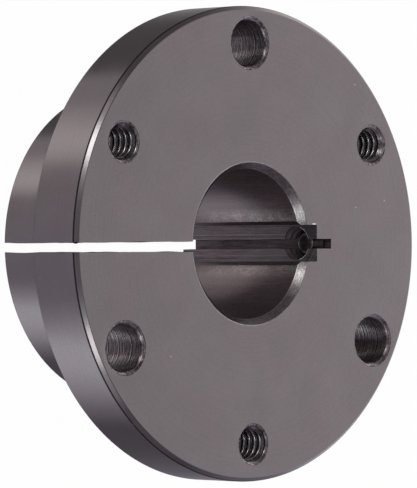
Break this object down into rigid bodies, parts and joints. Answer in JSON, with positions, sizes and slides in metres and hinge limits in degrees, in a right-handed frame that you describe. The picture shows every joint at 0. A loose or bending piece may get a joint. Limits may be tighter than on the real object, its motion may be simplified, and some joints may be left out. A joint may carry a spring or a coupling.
{
  "type": "quick disconnect bushing",
  "caption": "Flanged, split and tapered steel bushing that clamps a hub to a keyed shaft, with bolt holes, tapped jack holes and a set screw over the keyway.",
  "frame": {"origin": "centre of the small end of the taper, on which the bushing stands", "axes": "+Z along the shaft axis towards the flange's outer face, +X through the middle of the keyway, the split on -X"},
  "size_m": [0.081, 0.081, 0.0333],
  "materials": {
    "black_oxide_steel": "satin",
    "set_screw_steel": "satin"
  },
  "bodies": {
    "bushing": {"bushing": "black_oxide_steel"},
    "set_screw": {"set_screw": "set_screw_steel"}
  },
  "joints": [
    {"name": "set_screw_travel", "type": "slide", "parent": "bushing", "child": "set_screw", "axis": [1, 0, 0], "range_m": [-0.00127, 0.0127]}
  ]
}
